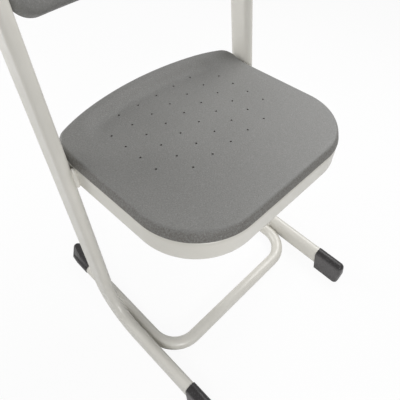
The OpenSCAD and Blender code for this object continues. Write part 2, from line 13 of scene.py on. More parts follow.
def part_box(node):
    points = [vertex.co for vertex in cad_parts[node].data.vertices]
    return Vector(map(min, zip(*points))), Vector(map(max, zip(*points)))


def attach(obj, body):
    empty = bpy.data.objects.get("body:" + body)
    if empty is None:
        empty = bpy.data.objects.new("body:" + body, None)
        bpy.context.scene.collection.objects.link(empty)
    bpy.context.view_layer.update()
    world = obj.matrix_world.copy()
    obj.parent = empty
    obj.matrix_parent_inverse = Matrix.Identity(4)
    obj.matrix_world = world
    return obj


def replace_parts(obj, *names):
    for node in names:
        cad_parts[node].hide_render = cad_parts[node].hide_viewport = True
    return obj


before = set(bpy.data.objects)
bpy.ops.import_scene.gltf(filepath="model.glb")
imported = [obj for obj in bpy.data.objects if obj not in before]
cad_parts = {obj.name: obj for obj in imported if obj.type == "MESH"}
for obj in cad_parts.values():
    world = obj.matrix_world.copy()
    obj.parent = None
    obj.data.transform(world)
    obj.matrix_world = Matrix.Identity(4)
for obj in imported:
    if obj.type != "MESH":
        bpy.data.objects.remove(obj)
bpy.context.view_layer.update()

# View: a look down on the seat from in front and to one side, close enough that the upper tube
# ends and one front foot leave the picture.
view_place = Vector((-0.39772, -0.30885, 0.87436))
view_azimuth = math.radians(-49.589)
view_elevation = math.radians(49.470)
view_roll = math.radians(5.260)
view_lens = 37.133
view_shift = -0.02125
camera = bpy.data.objects.new("camera", bpy.data.cameras.new("camera"))
camera.data.lens = view_lens
camera.data.shift_y = view_shift
camera.data.clip_start = 0.01
camera.matrix_world = (
    Matrix.Translation(view_place)
    @ Matrix.Rotation(view_azimuth, 4, "Z")
    @ Matrix.Rotation(math.pi / 2 - view_elevation, 4, "X")
    @ Matrix.Rotation(view_roll, 4, "Z")
)
scene = bpy.context.scene
scene.collection.objects.link(camera)
scene.camera = camera
scene.view_settings.view_transform = "Standard"


# Studio: a plain pale floor, an even surround, a large soft box high at the right, and two low ones at
# the left, one behind and a smaller one in front. Seen by the camera the floor and the surround are
# white, and the floor keeps a faint shadow.
def tinted(*screen_colour):
    """A colour as it looks on a screen, from 0 to 1, turned into the values that light works with"""
    return tuple(
        c / 12.92 if c <= 0.04045 else ((c + 0.055) / 1.055) ** 2.4
        for c in screen_colour
    )


def join(tree, start, end):
    """Links one node's output to another's input"""
    tree.links.new(start, end)


def add_node(tree, kind, **settings):
    """A new node of that kind, with its settings made"""
    made = tree.nodes.new(kind)
    for name, value in settings.items():
        setattr(made, name, value)
    return made


box_target = Vector((0, 0.05, 0.42))


def softbox(name, place, size, power):
    """A round soft lamp that faces the seat, its size in metres and its power in watts"""
    lamp = bpy.data.lights.new(name, "AREA")
    lamp.shape = "DISK"
    lamp.size = size
    lamp.energy = power
    box = bpy.data.objects.new(name, lamp)
    box.location = place
    box.rotation_euler = (box_target - Vector(place)).to_track_quat("-Z", "Y").to_euler()
    scene.collection.objects.link(box)


surround_level = 0.25
floor_radius = 6.0
floor_corners = 96
floor_colour = tinted(0.93, 0.93, 0.93)
floor_white_share = 0.93

world = bpy.data.worlds.new("surround")
world.use_nodes = True
scene.world = world
tree = world.node_tree
sees = add_node(tree, "ShaderNodeLightPath")
direct = add_node(tree, "ShaderNodeMath", operation="MAXIMUM")
either = add_node(tree, "ShaderNodeMath", operation="MAXIMUM")
join(tree, sees.outputs["Is Camera Ray"], direct.inputs[0])
join(tree, sees.outputs["Is Transmission Ray"], direct.inputs[1])
join(tree, direct.outputs[0], either.inputs[0])
join(tree, sees.outputs["Is Glossy Ray"], either.inputs[1])
pick = add_node(tree, "ShaderNodeMix", data_type="FLOAT")
pick.inputs["A"].default_value = surround_level
pick.inputs["B"].default_value = 1.0
join(tree, either.outputs[0], pick.inputs["Factor"])
join(tree, pick.outputs[0], tree.nodes["Background"].inputs["Strength"])
tree.nodes["Background"].inputs["Color"].default_value = (1, 1, 1, 1)

floor_points = []
for a in np.linspace(0, 2 * math.pi, floor_corners, endpoint=False):
    floor_points.append((floor_radius * math.cos(a), floor_radius * math.sin(a), 0))
floor_mesh = bpy.data.meshes.new("floor")
floor_mesh.from_pydata(floor_points, [], [range(floor_corners)])
floor = bpy.data.objects.new("floor", floor_mesh)
scene.collection.objects.link(floor)
paper = bpy.data.materials.new("floor_paper")
paper.use_nodes = True
tree = paper.node_tree
paper_shader = tree.nodes["Principled BSDF"]
paper_shader.inputs["Base Color"].default_value = (*floor_colour, 1)
paper_shader.inputs["Roughness"].default_value = 0.9
paper_shader.inputs["Specular IOR Level"].default_value = 0.0
glow = add_node(tree, "ShaderNodeEmission")
sees = add_node(tree, "ShaderNodeLightPath")
share = add_node(tree, "ShaderNodeMath", operation="MULTIPLY")
share.inputs[1].default_value = floor_white_share
join(tree, sees.outputs["Is Camera Ray"], share.inputs[0])
blend = add_node(tree, "ShaderNodeMixShader")
join(tree, share.outputs[0], blend.inputs["Fac"])
join(tree, paper_shader.outputs[0], blend.inputs[1])
join(tree, glow.outputs[0], blend.inputs[2])
join(tree, blend.outputs[0], tree.nodes["Material Output"].inputs["Surface"])
floor.data.materials.append(paper)

softbox("right_box", (0.919, 0.050, 1.339), 1.0, 13)
softbox("rear_box", (-0.918, 1.640, 0.912), 1.4, 22)
softbox("front_box", (-0.918, -1.540, 1.100), 0.6, 16)


# Side tubes: one flat-oval steel tube on each side, drawn round a heel bend into the floor runner.
# They carry a warm light grey powder coat with a faint orange peel, rubbed a little near the floor.
def start_finish(name, colour, roughness):
    """A material with one plain shader, whose colour and roughness the sections below build up"""
    made = bpy.data.materials.new(name)
    made.use_nodes = True
    shader = made.node_tree.nodes["Principled BSDF"]
    shader.inputs["Base Color"].default_value = (*colour, 1)
    shader.inputs["Roughness"].default_value = roughness
    return made, made.node_tree, shader


def spots(tree, scale, detail=2.0, roughness=0.5):
    """Soft cloudy noise over the piece's own metres, as a factor from 0 to 1"""
    place = add_node(tree, "ShaderNodeTexCoord")
    made = add_node(tree, "ShaderNodeTexNoise")
    made.inputs["Scale"].default_value = scale
    made.inputs["Detail"].default_value = detail
    made.inputs["Roughness"].default_value = roughness
    join(tree, place.outputs["Object"], made.inputs["Vector"])
    return made.outputs[0]


def stepped(tree, factor, low, high, low_value, high_value):
    """A factor carried from one range to another, held at both ends"""
    made = add_node(tree, "ShaderNodeMapRange")
    sockets = ("From Min", "From Max", "To Min", "To Max")
    for name, value in zip(sockets, (low, high, low_value, high_value)):
        made.inputs[name].default_value = value
    join(tree, factor, made.inputs["Value"])
    return made.outputs["Result"]


def blended(tree, factor, first, second):
    """Two colours mixed by a factor. A colour is three numbers or another node's output."""
    made = add_node(tree, "ShaderNodeMix", data_type="RGBA")
    join(tree, factor, made.inputs["Factor"])
    for socket, colour in ((made.inputs[6], first), (made.inputs[7], second)):
        if isinstance(colour, tuple):
            socket.default_value = (*colour, 1)
        else:
            join(tree, colour, socket)
    return made.outputs[2]


def raised(tree, height, depth, strength, below=None):
    """A bump of that depth in metres, laid over the bump below it"""
    made = add_node(tree, "ShaderNodeBump")
    made.inputs["Distance"].default_value = depth
    made.inputs["Strength"].default_value = strength
    join(tree, height, made.inputs["Height"])
    if below is not None:
        join(tree, below, made.inputs["Normal"])
    return made.outputs["Normal"]


def height_above_floor(tree):
    """Height in metres. Every piece has its origin on the floor, so its own Z is that height."""
    place = add_node(tree, "ShaderNodeTexCoord")
    parts = add_node(tree, "ShaderNodeSeparateXYZ")
    join(tree, place.outputs["Object"], parts.inputs[0])
    return parts.outputs["Z"]


def multiplied(tree, first, second):
    """The product of two factors, each a number or another node's output"""
    made = add_node(tree, "ShaderNodeMath", operation="MULTIPLY")
    for socket, value in zip(made.inputs, (first, second)):
        if isinstance(value, float):
            socket.default_value = value
        else:
            join(tree, value, socket)
    return made.outputs[0]


coat_colour = tinted(0.848, 0.839, 0.810)
coat_dull = tinted(0.820, 0.810, 0.778)
coat_rubbed = tinted(0.700, 0.690, 0.665)
coat_roughness = (0.34, 0.46)
scuff_height = 0.09
scuff_share = 0.30
peel_depth = 0.00004
peel_fine_depth = 0.00002

# Faint clouds of tone, scuffs that fade with height, and a coarse and a fine orange peel
powder_coat, tree, shader = start_finish("powder_coat", coat_colour, 0.40)
clouds = stepped(tree, spots(tree, 9.0, 3.0), 0.35, 0.7, 0.0, 1.0)
tone = blended(tree, clouds, coat_colour, coat_dull)
scuffs = stepped(tree, spots(tree, 160.0, 6.0, 0.7), 0.60, 0.74, 0.0, 1.0)
low_down = stepped(tree, height_above_floor(tree), 0.0, scuff_height, scuff_share, 0.0)
scuffed = blended(tree, multiplied(tree, scuffs, low_down), tone, coat_rubbed)
join(tree, scuffed, shader.inputs["Base Color"])
uneven = stepped(tree, spots(tree, 55.0, 4.0), 0.3, 0.7, *coat_roughness)
join(tree, uneven, shader.inputs["Roughness"])
peel = raised(tree, spots(tree, 420.0, 1.0), peel_depth, 0.30)
join(tree, raised(tree, spots(tree, 1500.0, 2.0), peel_fine_depth, 0.20, peel), shader.inputs["Normal"])
shader.inputs["Coat Weight"].default_value = 0.35
shader.inputs["Coat Roughness"].default_value = 0.20


def dress(node, finish):
    """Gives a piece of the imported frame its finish"""
    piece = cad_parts[node]
    for place in piece.material_slots:
        place.material = finish


for side in ("left", "right"):
    dress(f"side_tube_{side}", powder_coat)

# Base tube: one round tube bent to a U, whose bar crosses in front and whose legs run back along
# the inner side of the runners. It has the same coat, baked on after welding.
dress("base_tube", powder_coat)

# Seat ring: one flat-oval tube bent to a U under the seat's edge, with a round tube across its legs
# and four welded lugs. The seat's bosses stand on the lugs.
for node in ("seat_ring", "seat_cross_tube", "seat_lugs"):
    dress(node, powder_coat)


# Welds: a hand-laid bead in each nook between the ring's legs and the uprights, and above and below
# the line where the base tube lies against each runner. Painted over with the frame.
def finished_piece(name, mesh, finish, sharp_angle):
    """A smooth-shaded piece that rides on the frame. Edges over the angle, in degrees, stay sharp."""
    mesh.name = name
    mesh.shade_smooth()
    mesh.set_sharp_from_angle(angle=math.radians(sharp_angle))
    mesh.materials.clear()
    mesh.materials.append(finish)
    piece = bpy.data.objects.new(name, mesh)
    scene.collection.objects.link(piece)
    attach(piece, "root")
    return piece


def new_piece(name, points, faces, finish, sharp_angle):
    """A finished piece made from its points and faces"""
    mesh = bpy.data.meshes.new(name)
    mesh.from_pydata([tuple(p) for p in points], [], [tuple(f) for f in faces])
    mesh.validate()
    return finished_piece(name, mesh, finish, sharp_angle)


def tube_faces(rings, around):
    """Four-sided faces between rings of points, with a fan over each end"""
    faces = []
    for k in range(rings - 1):
        low, high = k * around, (k + 1) * around
        for i in range(around):
            j = (i + 1) % around
            faces.append([low + i, low + j, high + j, high + i])
    faces.append(list(reversed(range(around))))
    faces.append([(rings - 1) * around + i for i in range(around)])
    return faces


bead_radius = 0.0048
bead_ripple = 0.0024
bead_swell = 0.07
bead_wander = 0.012
bead_step = 0.0007
bead_around = 16
bead_sharp_angle = 60
rng = random.Random(7)


def weld_bead(start, end):
    """Points and faces of a rippled bead laid from start to end, thinner towards both"""
    along = end - start
    length = along.length
    across = along.orthogonal().normalized()
    other = along.normalized().cross(across)
    rings = max(8, int(length / bead_step))
    points = []
    wander = [rng.uniform(-1, 1) for _ in range(rings + 1)]
    for k in range(rings + 1):
        t = k / rings
        end_round = math.sqrt(max(0.02, 1 - abs(2 * t - 1) ** 3))
        swell = bead_swell * abs(math.sin(math.pi * t * length / bead_ripple))
        wave = 1 + swell + bead_wander * wander[k]
        for i in range(bead_around):
            a = 2 * math.pi * i / bead_around
            r = bead_radius * end_round * wave
            points.append(start + along * t + across * (r * math.cos(a)) + other * (r * math.sin(a)))
    return points, tube_faces(rings + 1, bead_around)


def weld_beads(name, lines):
    """One piece that holds a bead for each line from a start to an end"""
    points, faces = [], []
    for start, end in lines:
        bead_points, bead_faces = weld_bead(start, end)
        faces += [[n + len(points) for n in face] for face in bead_faces]
        points += bead_points
    return new_piece(name, points, faces, powder_coat, bead_sharp_angle)


upright_rake = math.radians(10.8)
side_tube_w = 0.021
side_tube_d = 0.046
ring_half_w = 0.202
ring_nook_low = 0.369
ring_nook_high = 0.407
heel_setback = 0.061
runner_z = 0.0305
base_tube_z = 0.0185
# Where the beads lie: past the upright's flat side, out from the ring, above or below the base
# tube's middle, and in from the outer side of the plain welds that they stand for
nook_beyond = 0.0045
nook_out = 0.0025
base_bead_rise = 0.0085
base_bead_inset = 0.0045

nook_reach = ((side_tube_d - side_tube_w) / 2 + nook_beyond) / math.cos(upright_rake)
nook_lines = []
for x_side in (-1, 1):
    for nook in (-1, 1):
        ends = []
        for z in (ring_nook_low, ring_nook_high):
            y = heel_setback + (z - runner_z) * math.tan(upright_rake) + nook * nook_reach
            ends.append(Vector((x_side * (ring_half_w + nook_out), y, z)))
        nook_lines.append(ends)
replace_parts(weld_beads("ring_weld_beads", nook_lines), "ring_welds")

base_weld_low, base_weld_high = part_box("base_welds")
runner_lines = []
for x_side in (-1, 1):
    for z in (base_tube_z - base_bead_rise, base_tube_z + base_bead_rise):
        x = x_side * (base_weld_high.x - base_bead_inset)
        runner_lines.append((Vector((x, base_weld_low.y, z)), Vector((x, base_weld_high.y, z))))
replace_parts(weld_beads("base_weld_beads", runner_lines), "base_welds")

# Seat, upper skin: grey plastic, blow-moulded with a fine grain, a steep rolled edge that follows
# the ring, a raised rim at the back and a field of small vent holes.
seat_setback = 0.063
ring_top = 0.4133
seat_tilt = math.radians(3.4)
seat_frame = Matrix.Translation((0, seat_setback, ring_top)) @ Matrix.Rotation(-seat_tilt, 4, "X")

# Outline, height and rolled edge
seat_half_w = 0.2022
seat_reach = 0.2122
seat_corner_r = 0.1072
seat_rear_reach = 0.142
seat_rear_bow_r = 0.500
seat_rear_corner_r = 0.032
seat_rise = 0.014
seat_side_lift = 0.0022
seat_roll_w = 0.008
seat_corner_roll_w = 0.010
seat_rear_roll_w = 0.009
seat_skirt = 0.001
skin_t = 0.003
rear_bow_y = seat_rear_reach - seat_rear_bow_r

# Raised rim along the rear of the sides and across the back
rim_h = 0.016
rim_flat = 0.013
rim_side_flat = 0.040
rim_corner_r = 0.055
rim_slope_w = 0.034
rim_start = 0.045
rim_run = 0.075

# Vent holes
vent_dia = 0.0036
vent_pitch = (0.042, 0.0353)
vent_cols = 7
vent_rows = 6


def eased(t):
    """A smooth step from 0 to 1"""
    t = min(max(t, 0.0), 1.0)
    return (1 - math.cos(math.pi * t)) / 2


def arc(centre, radius, first, last, count):
    """Points on an arc with their outward normals, angles in degrees"""
    run = []
    for i in range(count + 1):
        a = math.radians(first + (last - first) * i / count)
        d = Vector((math.cos(a), math.sin(a)))
        run.append((Vector(centre) + radius * d, d))
    return run


def line(start, end, count, normal):
    """Points strictly between two ends, with one outward normal"""
    return [(start.lerp(end, i / count), Vector(normal)) for i in range(1, count)]


def both_halves(first, half):
    """A whole outline from its lowest middle point and its right half, which ends on the middle too"""
    left = [(Vector((-p.x, p.y)), Vector((-n.x, n.y))) for p, n in reversed(half[:-1])]
    return [first] + half + left


def corner_centre(half_w, bow_r, corner_r):
    """Centre of a corner that runs smoothly from a straight side into the rear bow"""
    x = half_w - corner_r
    return Vector((x, rear_bow_y + math.sqrt((bow_r - corner_r) ** 2 - x ** 2)))


rear_corner = corner_centre(seat_half_w, seat_rear_bow_r, seat_rear_corner_r)
rear_bow_a = math.degrees(math.atan2(rear_corner.y - rear_bow_y, rear_corner.x))
front_run = arc((seat_half_w - seat_corner_r, seat_corner_r - seat_reach), seat_corner_r, -90, 0, 40)
rear_run = arc(rear_corner, seat_rear_corner_r, 0, rear_bow_a, 20)
bow_run = arc((0, rear_bow_y), seat_rear_bow_r, rear_bow_a, 90, 30)
seat_first = (Vector((0, -seat_reach)), Vector((0, -1)))
seat_plan = both_halves(
    seat_first,
    line(seat_first[0], front_run[0][0], 12, (0, -1)) + front_run
    + line(front_run[-1][0], rear_run[0][0], 34, (1, 0)) + rear_run + bow_run[1:],
)

rim_corner = corner_centre(seat_half_w - rim_side_flat, seat_rear_bow_r - rim_flat, rim_corner_r)


def rim_share(p):
    """Share of the rim's full height at a point of the plan"""
    q = Vector((abs(p.x), p.y))
    from_bow = q - Vector((0, rear_bow_y))
    from_corner = q - rim_corner
    to_corner = rim_corner - Vector((0, rear_bow_y))
    if to_corner.x * from_bow.y - to_corner.y * from_bow.x >= 0:
        beyond = from_bow.length - seat_rear_bow_r + rim_flat
    else:
        beyond = max(from_corner.x, from_corner.length if from_corner.y > 0 else 0.0) - rim_corner_r
    return eased(1 + beyond / rim_slope_w) * eased((p.y - rim_start) / rim_run)


def rear_share(p):
    """Share of the way out to the rear edge, 1 along the edge itself"""
    from_edge = seat_rear_bow_r - (p - Vector((0, rear_bow_y))).length
    return eased((rim_flat + rim_slope_w - from_edge) / rim_slope_w)


def seat_height(p):
    """Height of the upper face over the ring at a point of the plan"""
    return seat_rise + seat_side_lift * (p.x / seat_half_w) ** 2 + rim_h * rim_share(p)


def seat_edge(p):
    """Height of the rolled edge's foot at a point of the outline"""
    return rim_h * rear_share(p) / 2 - seat_skirt


front_corner = Vector((seat_half_w - seat_corner_r, seat_corner_r - seat_reach))


def front_corner_share(p):
    """Share of the way round a front corner, from 0 at its two ends to 1 in its middle"""
    d = Vector((abs(p.x), p.y)) - front_corner
    return (2 * d.x * d.y / d.length_squared) ** 2 if d.x > 0 > d.y else 0.0


def seat_roll(p):
    """Width of the rolled edge at a point of the outline"""
    return (seat_roll_w + (seat_rear_roll_w - seat_roll_w) * rear_share(p)
            + (seat_corner_roll_w - seat_roll_w) * front_corner_share(p))


# The rolled edge's curve: how far in from the outside, and how far up, as shares of the whole
roll_shares = (
    (0, 0), (0.04, 0.085), (0.08, 0.167), (0.12, 0.25), (0.18, 0.376), (0.24, 0.50), (0.30, 0.615),
    (0.36, 0.715), (0.43, 0.80), (0.50, 0.865), (0.60, 0.92), (0.72, 0.962), (0.86, 0.989), (1, 1),
)

# Points round a hole, then the ring of points and the clear space round it, in hole radii
hole_around = 12
hole_collar = 1.9
hole_clear = 3

# The flat middle's grid: how far it stays from the rolled edge, half its width, and its spacing
grid_margin = 0.002
grid_half_w = 0.3
seat_grid = 0.006
skin_sharp_angle = 50


def hole_ring(hole, radius):
    """Points round a hole's middle"""
    ring = []
    for i in range(hole_around):
        a = 2 * math.pi * i / hole_around
        ring.append(Vector(hole) + radius * Vector((math.cos(a), math.sin(a))))
    return ring


def grid_within(outline, spacing):
    """An even grid of points inside a closed outline, which each row of the grid crosses twice"""
    points = []
    for y in np.arange(min(p.y for p in outline), max(p.y for p in outline), spacing):
        crossings = []
        for a, b in zip(outline, outline[1:] + outline[:1]):
            if (a.y <= y) != (b.y <= y):
                crossings.append(a.x + (b.x - a.x) * (y - a.y) / (b.y - a.y))
        if len(crossings) < 2:
            continue
        for x in np.arange(-spacing * round(grid_half_w / spacing), grid_half_w, spacing):
            if min(crossings) < x < max(crossings):
                points.append(Vector((x, y)))
    return points


def band(a, b):
    """Four-sided faces from one closed ring of points to the next"""
    turn = len(a)
    return [(a[i], a[(i + 1) % turn], b[(i + 1) % turn], b[i]) for i in range(turn)]


def moulded_skin(plan, roll, edge, top, spacing, rest, holes=(), hole_r=0.0):
    """Points and faces of a moulded skin: a middle with holes, a rolled edge and an even thickness.
    rest turns the skin's own frame into the object's."""
    around = len(plan)
    crease = [p - n * roll(p) for p, n in plan]
    flat, fixed_edges, lips = list(crease), [(i, (i + 1) % around) for i in range(around)], []
    for hole in holes:
        first = len(flat)
        lips.append([first + i for i in range(hole_around)])
        fixed_edges += [(first + i, first + (i + 1) % hole_around) for i in range(hole_around)]
        flat += hole_ring(hole, hole_r) + hole_ring(hole, hole_collar * hole_r)
    for p in grid_within([p - n * (roll(p) + grid_margin) for p, n in plan], spacing):
        if all((p - Vector(hole)).length > hole_clear * hole_r for hole in holes):
            flat.append(p)
    flat_points, _, triangles, _, _, _ = delaunay_2d_cdt(flat, fixed_edges, [], 1, 1e-6)
    lip_of = {i: k for k, lip in enumerate(lips) for i in lip}
    # A triangle with all three points on one lip would close its hole
    triangles = [t for t in triangles if len({lip_of.get(i, -1 - i) for i in t}) > 1]
    count = len(flat_points)
    points = [Vector((p.x, p.y, top(p))) for p in flat_points]
    points += [Vector((p.x, p.y, top(p) - skin_t)) for p in flat_points]
    faces = [tuple(t) for t in triangles] + [tuple(i + count for i in reversed(t)) for t in triangles]
    for lip in lips:
        faces += band(lip, [i + count for i in lip])
    rings = []
    for inset in (0.0, skin_t):
        for across, gained in roll_shares[:-1]:
            ring = []
            for (p, n), c in zip(plan, crease):
                q = (p - n * inset).lerp(c, across)
                ring.append(len(points))
                points.append(Vector((q.x, q.y, edge(p) + (top(c) - inset - edge(p)) * gained)))
            rings.append(ring)
    half = len(rings) // 2
    outer = rings[:half] + [range(around)]
    inner = rings[half:] + [range(count, count + around)]
    for a, b in zip(outer, outer[1:]):
        faces += band(a, b)
    for a, b in zip(inner, inner[1:]):
        faces += [face[::-1] for face in band(a, b)]
    faces += band(inner[0], outer[0])
    return [rest @ p for p in points], faces


vents = []
for row in range(vent_rows):
    for col in range(vent_cols):
        in_corner = row in (0, vent_rows - 1) and col in (0, vent_cols - 1)
        if not in_corner:
            x = (col - (vent_cols - 1) / 2) * vent_pitch[0]
            y = (row - (vent_rows - 1) / 2) * vent_pitch[1]
            vents.append((x, y))


def facing_up(tree):
    """How far the surface faces up, from -1 to 1"""
    place = add_node(tree, "ShaderNodeNewGeometry")
    parts = add_node(tree, "ShaderNodeSeparateXYZ")
    join(tree, place.outputs["Normal"], parts.inputs[0])
    return parts.outputs["Z"]


seat_grey = tinted(0.488, 0.487, 0.478)
seat_fleck = tinted(0.385, 0.383, 0.373)
# Painted highlight colour for glints on the grain's tops
seat_painted_glint = tinted(0.580, 0.578, 0.568)
# Painted shade colour for the seat's rolled edge
seat_painted_edge_shade = tinted(0.350, 0.335, 0.310)
# Painted shade: the grain is darkened where the surface is this steep and this low, on the seat's
# rolled edge, in place of the shade that falls there
painted_shade_facing = (0.60, 0.93)
painted_shade_height = (0.44, 0.46)
grain_roughness = (0.46, 0.64)
leather_depth = 0.0006

# Clouds of tone, dark flecks, painted shade on the steep edge and painted glints, over a fine leather
# grain
grained_plastic, tree, shader = start_finish("grained_plastic", seat_grey, 0.55)
shade = blended(tree, stepped(tree, spots(tree, 5.0, 2.0), 0.3, 0.7, 0.0, 0.35), seat_grey, seat_fleck)
flecks = stepped(tree, spots(tree, 520.0, 3.0, 0.6), 0.42, 0.62, 0.0, 1.0)
speckled = blended(tree, multiplied(tree, flecks, 0.45), shade, seat_fleck)
steep = stepped(tree, facing_up(tree), *painted_shade_facing, 1.0, 0.0)
below_rim = stepped(tree, height_above_floor(tree), *painted_shade_height, 1.0, 0.0)
steep = multiplied(tree, steep, below_rim)
coarse = stepped(tree, spots(tree, 380.0, 2.0, 0.6), 0.42, 0.58, 0.15, 0.75)
# Painted shade: the rolled edge is darkened in a grainy pattern
speckled = blended(tree, multiplied(tree, steep, coarse), speckled, seat_painted_edge_shade)
# Painted highlights: pale specks that stand for light glinting on the grain's tops
painted_glints = stepped(tree, spots(tree, 640.0, 2.0), 0.55, 0.70, 0.0, 0.5)
join(tree, blended(tree, painted_glints, speckled, seat_painted_glint), shader.inputs["Base Color"])
uneven = stepped(tree, spots(tree, 700.0, 2.0), 0.3, 0.7, *grain_roughness)
join(tree, uneven, shader.inputs["Roughness"])
grain = raised(tree, spots(tree, 480.0, 3.0, 0.6), leather_depth, 0.8)
join(tree, raised(tree, spots(tree, 60.0, 2.0), leather_depth, 0.12, grain), shader.inputs["Normal"])

skin_points, skin_faces = moulded_skin(
    seat_plan, seat_roll, seat_edge, seat_height, seat_grid, seat_frame, vents, vent_dia / 2)
upper_skin = new_piece(
    "seat_upper_skin", skin_points, skin_faces, grained_plastic, skin_sharp_angle)
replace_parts(upper_skin, "seat_top_shell")

# Seat, lower skin: the same plastic, moulded with stiffening ribs and with the four bosses that take
# the seat's screws. It closes the seat from below and stays clear of the leaning uprights.
dress("seat_bottom_shell", grained_plastic)

# Screws: zinc-plated pan heads with a hexagon socket, driven up through the lugs into the bosses,
# and through the brackets into the backrest.
zinc_colour = tinted(0.72, 0.73, 0.74)
zinc_dull = tinted(0.60, 0.60, 0.60)
zinc_roughness = (0.28, 0.45)
zinc_bump_depth = 0.00003

# Dull patches in bright zinc, and a very fine grit
zinc, tree, shader = start_finish("zinc_plate", zinc_colour, 0.35)
shader.inputs["Metallic"].default_value = 1.0
join(tree, blended(tree, spots(tree, 300.0, 4.0), zinc_colour, zinc_dull), shader.inputs["Base Color"])
uneven = stepped(tree, spots(tree, 500.0, 3.0), 0.3, 0.7, *zinc_roughness)
join(tree, uneven, shader.inputs["Roughness"])
join(tree, raised(tree, spots(tree, 1800.0, 2.0), zinc_bump_depth, 0.3), shader.inputs["Normal"])
for node in ("seat_screws", "back_screws"):
    dress(node, zinc)

# Backrest, front skin: the same grained plastic as the seat, with a rolled edge and a rearward bow in
# its middle. It fills the space between the uprights, leaning as they do.
gauge = 0.433
back_h = 0.190
back_bow = 0.024
back_corner_r = 0.042
back_roll_w = 0.016
back_roll_d = 0.018
back_top_drop = 0.006
back_clearance = 0.003
back_grid = 0.008
frame_h = 0.800
back_w = gauge - side_tube_w - back_clearance
back_mid = frame_h - (back_top_drop + back_h / 2) * math.cos(upright_rake)
back_frame = (
    Matrix.Translation((0, heel_setback + (back_mid - runner_z) * math.tan(upright_rake), back_mid))
    @ Matrix.Rotation(math.pi / 2 - upright_rake, 4, "X")
    @ Matrix.Translation((0, 0, -back_roll_d / 2 - back_bow))
)
back_corner = Vector((back_w / 2 - back_corner_r, back_h / 2 - back_corner_r))
low_run = arc((back_corner.x, -back_corner.y), back_corner_r, -90, 0, 20)
high_run = arc(back_corner, back_corner_r, 0, 90, 20)
back_first = (Vector((0, -back_h / 2)), Vector((0, -1)))
back_last = (Vector((0, back_h / 2)), Vector((0, 1)))
back_plan = both_halves(
    back_first,
    line(back_first[0], low_run[0][0], 30, (0, -1)) + low_run
    + line(low_run[-1][0], high_run[0][0], 20, (1, 0)) + high_run
    + line(high_run[-1][0], back_last[0], 30, (0, 1)) + [back_last],
)


def back_bowed(p):
    """How far forward the rear plane is bowed at a point of the plan"""
    return back_bow * (p.x / (back_w / 2)) ** 2


def back_face(p):
    """How far forward the front face lies at a point of the plan"""
    return back_roll_d + back_bowed(p)


def back_roll(p):
    """Width of the rolled edge, the same all round"""
    return back_roll_w


back_points, back_faces = moulded_skin(
    back_plan, back_roll, back_bowed, back_face, back_grid, back_frame)
front_skin = new_piece(
    "back_front_skin", back_points, back_faces, grained_plastic, skin_sharp_angle)
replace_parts(front_skin, "back_front_shell")

# Backrest, rear skin: a plain bowed moulding of the same plastic and thickness, set into the edge of
# the front skin so that it closes the backrest from behind.
rear_skin_inset = 0.0051
rear_skin_soft = 0.0006
# Each ring's share of the outline, how much further in it lies, and its height over the rear face
rear_skin_rings = [(share, 0.0, 0.0) for share in (0.02, 0.2, 0.4, 0.6, 0.8, 0.93)]
rear_skin_rings += [(1.0, rear_skin_soft, 0.0), (1.0, 0.0, rear_skin_soft)]
rear_skin_rings += [(share, inset, skin_t - lift) for share, inset, lift in reversed(rear_skin_rings)]
rear_points = []
for share, inset, lift in rear_skin_rings:
    for p, n in back_plan:
        q = (p - n * (rear_skin_inset + inset)) * share
        rear_points.append(back_frame @ Vector((q.x, q.y, back_bowed(q) + lift)))
rear_faces = tube_faces(len(rear_skin_rings), len(back_plan))
rear_skin = new_piece(
    "back_rear_skin", rear_points, rear_faces, grained_plastic, skin_sharp_angle)
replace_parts(rear_skin, "back_rear_shell")

# Backrest brackets: a flat steel tab behind the rear skin on each side, welded by its edge to the
# upright's inner face and painted with the frame. It takes the backrest's screws.
for side in ("left", "right"):
    dress(f"back_bracket_{side}", powder_coat)

# Front foot caps: soft dark plastic sleeves pushed over the runners' front ends. Each one widens to a
# flat sole and closes with a rounded nose in front.
cap_wall = 0.0013
cap_slack = 0.0003
base_half = 0.246
front_cap_len = 0.072
front_cap_w = 0.029
front_sole = 0.0075
front_rim_lean = 0.010
front_bore_depth = 0.0587
bore_overrun = 0.002
side_ridge = 0.0006

# Nose and rounded edges
front_nose_r = 0.0095
front_nose_h = 0.030
front_nose_soft = 0.005
front_top_back = 0.003
front_top_soft = 0.010
front_edge_r = 0.0016
sleeve_end_r = 0.0006

# Fineness of the curves
cap_fine = 40
quarter_steps = 4
hull_flat_angle = 0.01
cap_sharp_angle = 38

# A painted lit side and a painted dark top of the one cap plastic, then its rubbed colour
cap_painted_lit_side = tinted(0.360, 0.353, 0.354)
cap_painted_dark_top = tinted(0.180, 0.173, 0.175)
cap_worn = tinted(0.440, 0.438, 0.440)
cap_roughness = (0.24, 0.38)
cap_bump_depth = 0.0001

# Painted light: the upright sides are painted paler for the floor's bounce and reflection, and the top
# darker for the dim room it reflects, with rubbed places and a fine grit
cap_plastic, tree, shader = start_finish("cap_plastic", cap_painted_lit_side, 0.42)
# Painted reflection: paler where the surface stands upright, darker where it faces up
tone = blended(tree, stepped(tree, facing_up(tree), 0.15, 0.6, 0.0, 1.0), cap_painted_lit_side, cap_painted_dark_top)
rubbed = stepped(tree, spots(tree, 220.0, 5.0, 0.7), 0.55, 0.78, 0.0, 0.5)
join(tree, blended(tree, rubbed, tone, cap_worn), shader.inputs["Base Color"])
shader.inputs["Specular IOR Level"].default_value = 0.28
uneven = stepped(tree, spots(tree, 120.0, 4.0), 0.3, 0.7, *cap_roughness)
join(tree, uneven, shader.inputs["Roughness"])
join(tree, raised(tree, spots(tree, 900.0, 2.0), cap_bump_depth, 0.35), shader.inputs["Normal"])


